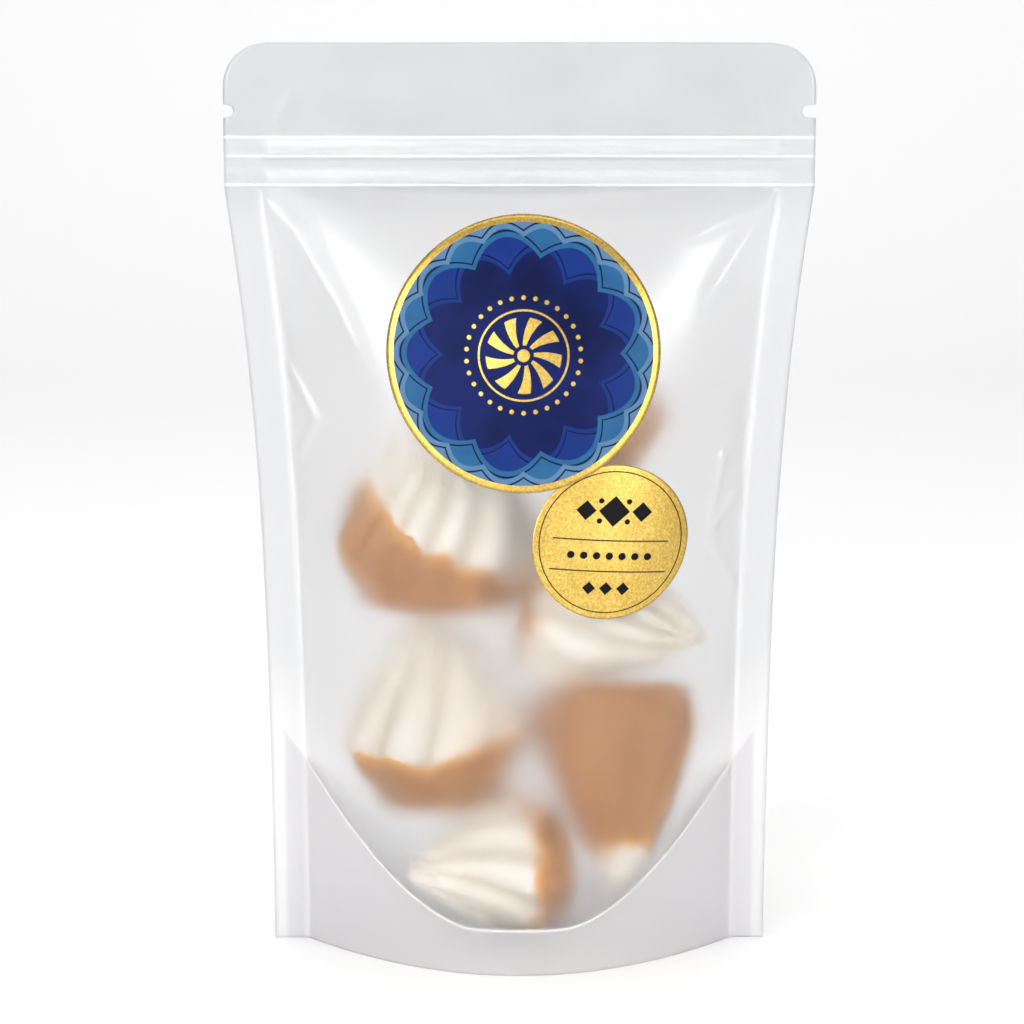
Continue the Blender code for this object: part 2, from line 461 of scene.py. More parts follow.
def zipMaterial():
    bench = Bench("zip plastic")
    spots = bench.objectSpots()
    tone = bench.remap(bench.noise(spots, 70.0), 0.3, 0.7, 0.0, 1.0)
    bench.plug(bench.blend(tone, *zipStrip["whites"]), bench.shader.inputs["Base Color"])
    bench.shader.inputs["Roughness"].default_value = zipStrip["roughness"]
    bench.shader.inputs["Transmission Weight"].default_value = zipStrip["clear"]
    bench.shader.inputs["IOR"].default_value = film["ior"]
    return bench.material


# strips of plastic profile on each film, one under and one over the groove, meeting in the middle
def addZip():
    half = zipStrip["half"] - zipStrip["barInset"]
    material = zipMaterial()
    for which, side in (("front", -1), ("back", 1)):
        for part, profile in zipStrip["bars"].items():
            name = f"zip_{which}_{part}"
            piece = newPiece(name, barMesh(name, profile, side, half), [material])
            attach(piece, "root")
            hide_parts("pouch")


def barMesh(name, profile, side, half):
    strip = bmesh.new()
    heights = [film["zipBottom"] + point[0] for point in profile]
    inner = [strip.verts.new((-half, side * 0.00002, z)) for z in heights]
    outer = [strip.verts.new((-half, side * point[1], z)) for point, z in zip(profile, heights)]
    face = strip.faces.new(inner + outer[::-1])
    run = bmesh.ops.extrude_face_region(strip, geom=[face])
    ends = [item for item in run["geom"] if isinstance(item, bmesh.types.BMVert)]
    bmesh.ops.translate(strip, verts=ends, vec=(2 * half, 0, 0))
    lengthways = [edge for edge in strip.edges if abs(edge.verts[0].co.x - edge.verts[1].co.x) > half]
    bmesh.ops.subdivide_edges(strip, edges=lengthways, cuts=zipStrip["columns"] - 1)
    for vert in strip.verts:
        vert.co.x += zipStrip["middle"]
        vert.co.y += float(middleWave(np.array([vert.co.x]), np.array([vert.co.z]))[0])
    bmesh.ops.recalc_face_normals(strip, faces=strip.faces)
    mesh = bpy.data.meshes.new(name)
    strip.to_mesh(mesh)
    strip.free()
    mesh.shade_smooth()
    mesh.set_sharp_from_angle(angle=math.radians(50))
    return mesh


# Relief of the welded seams: a fine ridge where each seal ends, and film that is crimped beside the gusset's

seams = {
    "ridge": 0.00016,
    "ridgeWidth": 0.00055,
    "gussetRidge": 0.00016,
    "gussetWidth": 0.00065,
    "wrinkle": 0.00012,      # crimped film just over the gusset's seal
    "wrinkleReach": 0.0045,
    "wrinkleStart": 0.001,
    "crimpedFrom": (0.028, 0.045), # distance from the middle where the crimped stretch fades in
    "sideEnd": (0.205, 0.212), # height where the side seals' ridge fades into the zip
}


def sealRelief(x, z):
    inward = halfChord(z) - np.abs(x)
    side = seams["ridge"] * np.exp(-((inward / seams["ridgeWidth"]) ** 2))
    side = side * (1 - smoothStep(*seams["sideEnd"], z))
    over = z - gussetSeal(x)
    line = seams["gussetRidge"] * np.exp(-((over / seams["gussetWidth"]) ** 2))
    crimp = seams["wrinkle"] * np.exp(-(((over - seams["wrinkleStart"]) / seams["wrinkleReach"]) ** 2))
    crimp = crimp * smoothStep(*seams["crimpedFrom"], np.abs(x))
    ripple = np.sin(x * 1400 + z * 900 + 3 * np.sin(x * 310))
    ripple = ripple * np.sin(z * 1100 - x * 500 + 2 * np.sin(z * 260))
    return side + (line + crimp * ripple) * smoothStep(0.0, 0.004, inward)


# Folds of the film, in millimetres: a line across and up, its height and its width

folds = {
    "unit": 0.001,
    "broad": 0.75,            # higher folds, and those that go inwards, are rounded; the others are creases
    "fade": (0.18, 0.72),     # shares of the length where a fold has come up and where it starts to die out
    "least": 0.12,
    "front": (
        {
            "line": ((-70, 211), (-60, 200), (-55, 191), (-49, 181), (-43, 168), (-38, 158)),
            "height": 1.1, "width": 3.4,
        },
        {"line": ((-70, 209), (-67, 194), (-65, 186)), "height": 0.45, "width": 0.9},
        {"line": ((-66, 178), (-63, 160), (-62, 140)), "height": -0.7, "width": 3.0},
        {"line": ((-65.7, 168), (-56.6, 151.6), (-55.7, 149.5), (-63, 133)), "height": 1.0, "width": 1.3},
        {"line": ((-62, 117), (-61, 104), (-60, 93), (-59, 79), (-59, 50)), "height": 0.5, "width": 1.6},
        {"line": ((-57, 128), (-55, 95), (-54, 66)), "height": -0.5, "width": 3.0},
        {"line": ((72, 212), (63, 201), (58, 193), (52, 184), (48, 177)), "height": 1.1, "width": 3.0},
        {"line": ((72, 211), (61, 206), (49, 201), (38, 198)), "height": 0.8, "width": 2.6},
        {"line": ((71, 200), (69, 183), (67.4, 171), (66.6, 158)), "height": 0.5, "width": 1.0},
        {"line": ((66.8, 157), (64.7, 151), (57.6, 144)), "height": 0.6, "width": 1.2},
        {"line": ((64, 150), (61, 141), (59, 132)), "height": -0.9, "width": 3.0},
        {"line": ((56.5, 143), (54, 130), (51.4, 118.4)), "height": 1.1, "width": 1.3},
        {"line": ((51.4, 118.4), (61, 129.7)), "height": 1.0, "width": 1.4},
        {"line": ((51.6, 118.0), (56, 109), (61.5, 99)), "height": 1.2, "width": 1.8},
        {"line": ((54, 118.5), (62, 118.5)), "height": -0.9, "width": 3.4},
        {"line": ((62.5, 125), (62, 108), (61.3, 89)), "height": 0.35, "width": 0.9},
        {"line": ((59.5, 53), (58.5, 49), (56, 46)), "height": 0.5, "width": 0.8},
        {"line": ((57, 52), (50, 42), (46, 36)), "height": 0.35, "width": 0.8},
        {"line": ((54, 57), (48, 44), (42, 33)), "height": -0.3, "width": 1.6},
        {"line": ((-64, 50), (-63, 30), (-61, 12)), "height": 0.5, "width": 2.4},
        {"line": ((63, 50), (62.5, 30), (61, 12)), "height": 0.6, "width": 2.2},
        {"line": ((-66, 228), (-64, 233), (-61, 238)), "height": 0.35, "width": 1.8},
        {"line": ((66, 227), (65, 232), (62, 239)), "height": 0.35, "width": 1.6},
    ),
    "back": (
        {"line": ((70, 211), (59, 199), (52, 187), (44, 170)), "height": 1.4, "width": 3.6},
        {"line": ((-71, 211), (-62, 202), (-55, 190), (-50, 178)), "height": 1.4, "width": 3.2},
        {"line": ((65, 165), (57, 150), (62, 131)), "height": 0.7, "width": 1.4},
        {"line": ((64, 160), (62, 142)), "height": -0.7, "width": 3.0},
        {"line": ((-66, 150), (-56, 138), (-60, 118)), "height": 0.7, "width": 1.4},
        {"line": ((-62, 110), (-60, 85), (-59, 55)), "height": 0.5, "width": 1.6},
        {"line": ((60, 108), (60, 80), (59, 52)), "height": 0.5, "width": 1.6},
        {"line": ((30, 205), (22, 190), (18, 172)), "height": 0.5, "width": 3.5},
        {"line": ((-28, 206), (-22, 192), (-20, 176)), "height": 0.4, "width": 3.5},
    ),
}


# distance from a bent line, and how far along it, from 0 to 1, the nearest point is
def alongLine(x, z, points):
    lengths = [math.dist(a, b) for a, b in zip(points, points[1:])]
    total = sum(lengths)
    nearest = np.full_like(x, 9.0)
    along = np.zeros_like(x)
    walked = 0.0
    for (ax, az), (bx, bz), length in zip(points, points[1:], lengths):
        part = ((x - ax) * (bx - ax) + (z - az) * (bz - az)) / length**2
        held = np.clip(part, 0, 1)
        away = np.hypot(x - ax - held * (bx - ax), z - az - held * (bz - az))
        closer = away < nearest
        nearest = np.where(closer, away, nearest)
        along = np.where(closer, (walked + held * length) / total, along)
        walked += length
    return nearest, along


def filmFolds(x, z, side):
    unit = folds["unit"]
    total = np.zeros_like(x)
    for fold in folds["front" if side < 0 else "back"]:
        line = [(across * unit, up * unit) for across, up in fold["line"]]
        away, along = alongLine(x, z, line)
        share = away / (fold["width"] * unit)
        if fold["height"] < 0 or fold["height"] > folds["broad"]:
            profile = np.exp(-(share**2))
        else:
            profile = 1 / (1 + share**2) ** 2
        rise, fall = folds["fade"]
        fade = smoothStep(0.0, rise, along) * (1 - smoothStep(fall, 1.0, along)) + folds["least"]
        total += fold["height"] * unit * profile * fade
    free = smoothStep(0.0, 0.0016, halfChord(z) - np.abs(x)) + 0.25 * (z > 0.2125)
    return total * np.clip(free, 0, 1)


# where film is whitened, and how much: partly real whitening of the stretched welds, partly a painted
# highlight along the weld lines
weldWhiteAndHighlight = {
    "colour": (0.95, 0.95, 0.955, 1),
    "gussetLine": 0.50,
    "sideWeld": 0.22,
    "zipLines": ((0.0, 0.85), (0.0129, 0.85), (0.0078, 0.45)), # heights over the zip's lower weld, and shares
    "dulls": 0.6,             # how much less see-through the whitest film is
}


# 1 where the zip's white flanges are fused to the film
def zipMask(bench, split):
    middle = film["zipBottom"] + zipStrip["flangeMiddle"]
    away = bench.work("ABSOLUTE", bench.work("SUBTRACT", split.outputs["Z"], middle))
    return bench.under(away, zipStrip["flangeHalf"], 0.0003)


# height over the U-shaped edge of the gusset's weld
def overSeal(bench, split):
    beyond = bench.work("SUBTRACT", bench.work("ABSOLUTE", split.outputs["X"]), gusset["flatHalf"])
    share = bench.work("DIVIDE", bench.work("MAXIMUM", beyond, 0.0), gusset["reach"])
    rise = bench.work("MULTIPLY", bench.work("POWER", share, gusset["curve"]), gusset["rise"])
    return bench.work("SUBTRACT", split.outputs["Z"], bench.work("ADD", rise, gusset["sealHeight"]))


def inside(bench, split, half):
    return bench.under(bench.work("ABSOLUTE", split.outputs["X"]), half, 0.0006)


# film is whitened where a weld ends, partly by the weld itself and partly as a painted highlight along the
# line
def weldWhiteAndHighlightMask(bench, split, over):
    line = bandMask(bench, over, 0.0002, 0.00035, 0.0003)
    line = bench.both(line, inside(bench, split, gusset["weldHalf"]))
    weld = bench.work("MULTIPLY", pointValue(bench, "weld"), weldWhiteAndHighlight["sideWeld"])
    for offset, share in weldWhiteAndHighlight["zipLines"]:
        across = bandMask(bench, split.outputs["Z"], film["zipBottom"] + offset, 0.00018, 0.00022)
        weld = bench.either(weld, bench.work("MULTIPLY", across, share))
    return bench.either(weld, bench.work("MULTIPLY", line, weldWhiteAndHighlight["gussetLine"]))


def gussetMaterial():
    bench = Bench("frosted gusset film")
    shader = bench.shader.inputs
    cloud = bench.remap(bench.noise(bench.objectSpots(), 55.0, 1.0), 0.3, 0.7, 0.0, 1.0)
    paler = tuple(part + film["paler"] for part in film["gussetTint"])
    bench.plug(bench.blend(cloud, (*film["gussetTint"], 1), (*paler, 1)), shader["Base Color"])
    shader["IOR"].default_value = film["gussetIor"]
    shader["Transmission Weight"].default_value = film["gussetClear"]
    shader["Roughness"].default_value = film["gussetRoughness"]
    return bench.material


def filmMaterial():
    bench = Bench("frosted film")
    shader = bench.shader.inputs
    spots = bench.objectSpots()
    cloud = bench.remap(bench.noise(spots, 60.0, 1.0), 0.3, 0.7, 0.0, 1.0)
    paler = tuple(part + film["paler"] for part in film["tint"])
    colour = bench.blend(cloud, (*film["tint"], 1), (*paler, 1))
    split = bench.nodes.new("ShaderNodeSeparateXYZ")
    bench.links.new(spots, split.inputs["Vector"])
    down, soft = film["bodyFade"]
    body = bench.under(split.outputs["Z"], film["zipBottom"] - down, soft)
    colour = bench.blend(body, colour, (*film["bodyTint"], 1))
    over = overSeal(bench, split)
    low = bench.remap(over, 0.0, film["lowReach"], 1.0, 0.0)
    colour = bench.blend(low, colour, (*film["lowTint"], 1))
    skirt = bench.both(inside(bench, split, gusset["skirtHalf"]), bench.under(over, 0.0, 0.0004))
    # white lines along the welds: partly real weld whitening, partly painted highlight
    white = weldWhiteAndHighlightMask(bench, split, over)
    colour = bench.blend(skirt, colour, (*film["skirtTint"], 1))
    colour = bench.blend(zipMask(bench, split), colour, (*film["zipTint"], 1))
    bench.plug(bench.blend(white, colour, weldWhiteAndHighlight["colour"]), shader["Base Color"])
    shader["IOR"].default_value = film["ior"]
    clear = bench.remap(skirt, 0.0, 1.0, 1.0, 1.0 - film["skirtWhite"])
    dulled = bench.work("MULTIPLY", white, weldWhiteAndHighlight["dulls"])
    bench.plug(bench.work("SUBTRACT", clear, dulled), shader["Transmission Weight"])
    shader["Coat Weight"].default_value = film["coat"]
    shader["Coat Roughness"].default_value = film["coatRoughness"]
    bench.plug(bench.remap(cloud, 0.0, 1.0, *film["roughness"]), shader["Roughness"])
    return bench.material


# marks the points beside the side seals' inner edges, where the film gets a white line that is partly weld
# whitening and partly painted highlight
def markWelds(mesh):
    spots = readPoints(mesh)
    inward = halfChord(spots[:, 2]) - np.abs(spots[:, 0])
    weld = np.exp(-((inward / 0.0007) ** 2)) * (1 - smoothStep(0.208, 0.213, spots[:, 2]))
    mesh.attributes.new("weld", "FLOAT", "POINT").data.foreach_set("value", weld)


def addFilm():
    frosted = filmMaterial()
    made = [
        newPiece("film_front", filmMesh("film_front", -1), [frosted]),
        newPiece("film_back", filmMesh("film_back", 1), [frosted]),
        newPiece("film_gusset", gussetMesh("film_gusset"), [gussetMaterial()]),
    ]
    for piece in made:
        markWelds(piece.data)
        thicken(piece, film["thickness"])
        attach(piece, "root")
        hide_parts("pouch")


# the trough between the two U-shaped seals; below them it is welded to the front and back film
def gussetMesh(name):
    columns, rows = gusset["columns"], gusset["rows"]
    inward = film["layerGap"] * 1.5 + film["thickness"]
    reach = float(halfChord(np.array([gusset["measuredAt"]]))[0]) - gusset["endGap"]
    widest = math.pi / 2 * gusset["columnEase"]

    def place(column, row):
        x = reach * np.sin(widest * (2 * column / columns - 1)) / math.sin(widest)
        seal = gussetSeal(x)
        depth = np.maximum(filmDepth(x, seal) - inward, 0.0001)
        across = 2 * row / rows - 1
        hang = gusset["sag"] * (1 - (x / reach) ** 2) * (1 - across**2)
        return np.column_stack((x, depth * across, seal - hang))

    return gridMesh(name, columns, rows, place)


# Round stickers

stickers = {
    "thickness": 0.00014,
    "lift": 0.00012,          # from the film's middle to the sticker's back
    "overLap": 0.00026,       # the large one stands this much higher where it crosses the small one
    "segments": 168,
    "rings": 40,
    "gold": ((0.36, 0.212, 0.036, 1), (0.68, 0.495, 0.135, 1)),
    "ink": (0.006, 0.006, 0.007, 1),
    "navy": ((0.0040, 0.0065, 0.038, 1), (0.0060, 0.012, 0.080, 1)),
    # petals round the large sticker: how many, turn, where they start and how deep they are, colour
    "petals": (
        (9, 0.0, 0.58, 0.18, (0.007, 0.026, 0.150, 1)),
        (9, 90.0, 0.70, 0.15, (0.020, 0.095, 0.205, 1)),
        (18, 0.0, 0.84, 0.07, (0.078, 0.160, 0.265, 1)),
    ),
    "rim": 0.9455,
    "beads": {"count": 30, "out": 0.415, "size": 0.016},
    "pinwheel": {"arms": 9, "sweep": 11.0, "inner": 0.075, "outer": 0.275, "hub": 0.045, "ring": 0.325},
    # print of the small sticker: rules by their height, diamonds and dots by place and size
    "frame": 0.913,
    "rules": (0.02, -0.38),
    "ruleEnd": 0.747,
    "diamonds": (
        (-0.36, 0.40, 0.13), (0.0, 0.40, 0.20), (0.36, 0.40, 0.13),
        (-0.22, -0.60, 0.085), (0.0, -0.60, 0.085), (0.22, -0.60, 0.085),
    ),
    "dots": ((-0.18, 0.53, 0.035), (-0.18, 0.27, 0.035), (0.18, 0.53, 0.035), (0.18, 0.27, 0.035)),
    "dotRow": {"count": 7, "step": 0.165, "height": -0.18, "size": 0.048},
    "back": ((0.80, 0.79, 0.77, 1), (0.88, 0.875, 0.86, 1)),
    "ior": 1.14,              # printed matt, with hardly any shine of its own
    "smallTurn": -6.4,        # degrees that the small one's print is turned, to look level on the bowed film
    "lean": 0.985,            # height beside width, less the lean of the film under it
}


# middle across, middle height and half width of a sticker; the small one's top is cut back, so its middle
# is found from its lowest point
def stickerPlace(name):
    low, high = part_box(name)
    half = (high[0] - low[0]) / 2
    middleX = (low[0] + high[0]) / 2
    if name == "label_small":
        return middleX, low[2] + half * stickers["lean"], half
    return middleX, (low[2] + high[2]) / 2, half


def stickerMesh(name, rises):
    middleX, middleZ, half = stickerPlace(name)
    halfUp = half * stickers["lean"]
    disc = bmesh.new()
    bmesh.ops.create_circle(disc, cap_ends=True, cap_tris=True, segments=stickers["segments"], radius=1.0)
    spokes = [edge for edge in disc.edges if not edge.is_boundary]
    bmesh.ops.subdivide_edges(disc, edges=spokes, cuts=stickers["rings"] - 1)
    layer = disc.loops.layers.uv.new("print")
    for face in disc.faces:
        for corner in face.loops:
            corner[layer].uv = (corner.vert.co.x / 2 + 0.5, corner.vert.co.y / 2 + 0.5)
    mesh = bpy.data.meshes.new(name)
    disc.to_mesh(mesh)
    disc.free()
    spots = readPoints(mesh)
    x = middleX + half * spots[:, 0]
    z = middleZ + halfUp * spots[:, 1]
    stand = filmStand(x, z, -1) + stickers["lift"] + stickers["thickness"] / 2 + rises(x, z)
    writePoints(mesh, np.column_stack((x, -stand + middleWave(x, z), z)))
    return mesh


def printCoordinates(bench, turn):
    uv = bench.nodes.new("ShaderNodeUVMap")
    uv.uv_map = "print"
    split = bench.nodes.new("ShaderNodeSeparateXYZ")
    bench.links.new(uv.outputs["UV"], split.inputs["Vector"])
    across = bench.work("MULTIPLY_ADD", split.outputs["X"], 2.0, -1.0)
    up = bench.work("MULTIPLY_ADD", split.outputs["Y"], 2.0, -1.0)
    cosine, sine = math.cos(math.radians(turn)), math.sin(math.radians(turn))
    turnedAcross = bench.work("ADD", bench.both(across, cosine), bench.both(up, sine))
    turnedUp = bench.work("SUBTRACT", bench.both(up, cosine), bench.both(across, sine))
    return turnedAcross, turnedUp


def polar(bench, across, up):
    squares = bench.work("ADD", bench.both(across, across), bench.both(up, up))
    return bench.work("SQRT", squares), bench.work("ARCTAN2", up, across)


# how gold foil looks: coarse and fine grain in its colour and its surface
def foil(bench, spots):
    grain = bench.noise(spots, 1500.0, 3.0, 0.65)
    cloud = bench.noise(spots, 45.0)
    fine = bench.remap(grain, 0.32, 0.68, 0.0, 0.75)
    coarse = bench.remap(cloud, 0.35, 0.65, 0.0, 0.25)
    return bench.blend(bench.work("ADD", fine, coarse), *stickers["gold"]), grain


def dotMask(bench, across, up, placeX, placeY, size):
    offX = bench.work("SUBTRACT", across, placeX)
    offY = bench.work("SUBTRACT", up, placeY)
    return bench.under(polar(bench, offX, offY)[0], size)


def diamondMask(bench, across, up, placeX, placeY, size):
    offX = bench.work("ABSOLUTE", bench.work("SUBTRACT", across, placeX))
    offY = bench.work("ABSOLUTE", bench.work("SUBTRACT", up, placeY))
    return bench.under(bench.work("ADD", offX, offY), size)


# nine curved arms round a hub, in a ring
def pinwheelMask(bench, radius, angle):
    wheel = stickers["pinwheel"]
    swept = bench.work("ADD", bench.both(angle, float(wheel["arms"])), bench.both(radius, wheel["sweep"]))
    between = bench.both(bench.over(radius, wheel["inner"]), bench.under(radius, wheel["outer"]))
    arms = bench.both(bench.over(bench.work("SINE", swept), 0.05, 0.08), between)
    hub = bench.under(radius, wheel["hub"])
    return bench.either(bench.either(arms, hub), bandMask(bench, radius, wheel["ring"], 0.007))


def beadMask(bench, radius, angle):
    beads = stickers["beads"]
    turns = bench.work("FRACT", bench.both(angle, beads["count"] / math.tau))
    around = bench.both(bench.work("SUBTRACT", turns, 0.5), math.tau / beads["count"] * beads["out"])
    return bench.under(polar(bench, around, bench.work("SUBTRACT", radius, beads["out"]))[0], beads["size"])


def largeStickerMaterial():
    bench = Bench("printed sticker")
    spots = bench.objectSpots()
    across, up = printCoordinates(bench, 0.0)
    radius, angle = polar(bench, across, up)
    tone = bench.remap(bench.noise(spots, 60.0, 2.0), 0.35, 0.65, 0.0, 1.0)
    colour = bench.blend(tone, *stickers["navy"])
    for count, turn, start, deep, ink in stickers["petals"]:
        wave = bench.work("COSINE", bench.work("MULTIPLY_ADD", angle, count / 2, math.radians(turn)))
        edge = bench.work("MULTIPLY_ADD", bench.work("ABSOLUTE", wave), deep, start)
        petal = bench.over(radius, edge)
        brushed = bench.remap(bench.noise(spots, 160.0, 3.0), 0.3, 0.7, 0.75, 1.0)
        colour = bench.blend(bench.both(petal, brushed), colour, ink)
        outline = bandMask(bench, radius, bench.work("ADD", edge, 0.045), 0.007)
        colour = bench.blend(outline, colour, stickers["navy"][0])
    gold, grain = foil(bench, spots)
    marks = bench.either(pinwheelMask(bench, radius, angle), beadMask(bench, radius, angle))
    marks = bench.either(marks, bench.over(radius, stickers["rim"], 0.002))
    bench.plug(bench.blend(marks, colour, gold), bench.shader.inputs["Base Color"])
    bench.plug(bench.work("MULTIPLY", marks, 0.85), bench.shader.inputs["Metallic"])
    bench.plug(bench.remap(marks, 0.0, 1.0, 0.45, 0.36), bench.shader.inputs["Roughness"])
    bench.shader.inputs["IOR"].default_value = stickers["ior"]
    bench.bump(bench.both(marks, grain), 0.25, 0.0001)
    return bench.material


def smallStickerMaterial():
    bench = Bench("gold foil sticker")
    spots = bench.objectSpots()
    across, up = printCoordinates(bench, stickers["smallTurn"])
    radius = polar(bench, across, up)[0]
    gold, grain = foil(bench, spots)
    ink = bandMask(bench, radius, stickers["frame"], 0.0075, 0.004)
    within = bench.under(bench.work("ABSOLUTE", across), stickers["ruleEnd"])
    for height in stickers["rules"]:
        ink = bench.either(ink, bench.both(within, bandMask(bench, up, height, 0.0085, 0.004)))
    for diamond in stickers["diamonds"]:
        ink = bench.either(ink, diamondMask(bench, across, up, *diamond))
    row = stickers["dotRow"]
    middle = (row["count"] - 1) / 2
    inRow = [((place - middle) * row["step"], row["height"], row["size"]) for place in range(row["count"])]
    for dot in (*stickers["dots"], *inRow):
        ink = bench.either(ink, dotMask(bench, across, up, *dot))
    bench.plug(bench.blend(ink, gold, stickers["ink"]), bench.shader.inputs["Base Color"])
    bench.plug(bench.remap(ink, 0.0, 1.0, 0.85, 0.0), bench.shader.inputs["Metallic"])
    bench.shader.inputs["Roughness"].default_value = 0.36
    bench.shader.inputs["IOR"].default_value = stickers["ior"]
    bench.bump(grain, 0.25, 0.0001)
    return bench.material


# the side with the glue, seen through the film from behind
def stickerBackMaterial():
    bench = Bench("sticker back")
    fibre = bench.remap(bench.noise(bench.objectSpots(), 700.0, 3.0), 0.3, 0.7, 0.0, 1.0)
    bench.plug(bench.blend(fibre, *stickers["back"]), bench.shader.inputs["Base Color"])
    bench.shader.inputs["Roughness"].default_value = 0.7
    return bench.material


def addStickers():
    back = stickerBackMaterial()
    middleX, middleZ, half = stickerPlace("label_small")

    # the large sticker lies over the small one's upper edge
    def rises(x, z):
        away = np.hypot(x - middleX, (z - middleZ) / stickers["lean"])
        return stickers["overLap"] * (1 - smoothStep(half - 0.0002, half + 0.0022, away))

    def lies(x, z):
        return np.zeros_like(x)

    for name, material, slot, lift in (
        ("label_large", largeStickerMaterial(), "label_print", rises),
        ("label_small", smallStickerMaterial(), "gold_foil", lies),
    ):
        piece = newPiece(name.replace("label", "sticker"), stickerMesh(name, lift), [material, back])
        thicken(piece, stickers["thickness"], 1)
        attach(piece, "root")
        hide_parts(name)


# Swirls: star-piped meringue, each dipped in blond chocolate

swirlShape = {
    "round": 132,        # points round and from the tip to the base
    "up": 96,
    "basePart": 0.16,    # share of the points on the flat base
    "belly": 0.24,       # share of the height where a swirl is widest
    "foot": 0.84,        # the foot's radius beside the widest one
    "nub": 0.075,        # radius of the blunt tip beside the widest one
    "rim": 0.0030,
    "deep": 0.19,        # how deep the valleys between the lobes are
    "coat": 0.0007,
    "flatPart": 0.75,    # share of the base's points on its flat, before its rounded rim
    "scallop": 0.0046,   # how far the dip line climbs on the lobes
    "hidden": 0.0010,    # above the dip line the coat lies this far inside the meringue
    "hiddenTip": 0.0012,
}

# place of the base's middle, direction of the tip, widest radius, height, depth beside width, turn, lobes,
# twist, dip height at the middle and its slope across and to the back, fullness and seed; a swirl may have
# its own belly and foot
swirls = {
    "swirl_1": {
        "base": (-0.0212, -0.0012, 0.0974), "tip": (0.0, 0.02, 1.0), "radius": 0.0282, "height": 0.0546,
        "squash": 0.80, "turn": 10, "lobes": 13, "twist": -50, "dip": 0.0236, "dipSlope": (-0.50, 0.25),
        "belly": 0.30, "foot": 0.76, "full": 1.5, "seed": 3,
    },
    "swirl_2": {
        "base": (-0.0216, -0.0016, 0.0418), "tip": (-0.08, -0.02, 1.0), "radius": 0.0250, "height": 0.0540,
        "squash": 0.90, "turn": 44, "lobes": 9, "twist": -45, "dip": 0.0212, "dipSlope": (0.12, 0.22),
        "belly": 0.32, "foot": 0.66, "full": 1.6, "seed": 5,
    },
    "swirl_3": {
        "base": (0.0266, 0.0014, 0.0720), "tip": (0.02, -0.34, -1.0), "radius": 0.0222, "height": 0.057,
        "squash": 0.86, "turn": 0, "lobes": 11, "twist": -30, "dip": 0.0436, "dipSlope": (0.0, -0.16),
        "belly": 0.13, "foot": 0.95, "full": 1.35, "seed": 8,
    },
    "swirl_4": {
        "base": (0.0030, -0.0014, 0.0996), "tip": (0.86, -0.11, -0.20), "radius": 0.0212, "height": 0.0500,
        "squash": 1.0, "turn": 75, "lobes": 10, "twist": -45, "dip": 0.0030, "dipSlope": (0.0, 0.0),
        "full": 1.4, "seed": 13,
    },
    "swirl_5": {
        "base": (0.0084, -0.0044, 0.0244), "tip": (-0.85, -0.39, 0.0), "radius": 0.0200, "height": 0.0430,
        "squash": 1.0, "turn": 20, "lobes": 9, "twist": -60, "dip": 0.0115, "dipSlope": (0.0, 0.0),
        "full": 1.35, "seed": 21,
    },
    "swirl_6": {
        "base": (0.0318, 0.0036, 0.1375), "tip": (-0.75, 0.0, 0.55), "radius": 0.0180, "height": 0.043,
        "squash": 1.0, "turn": 20, "lobes": 12, "twist": -50, "dip": 0.0200, "dipSlope": (0.0, 0.0),
        "full": 1.25, "seed": 34,
    },
}
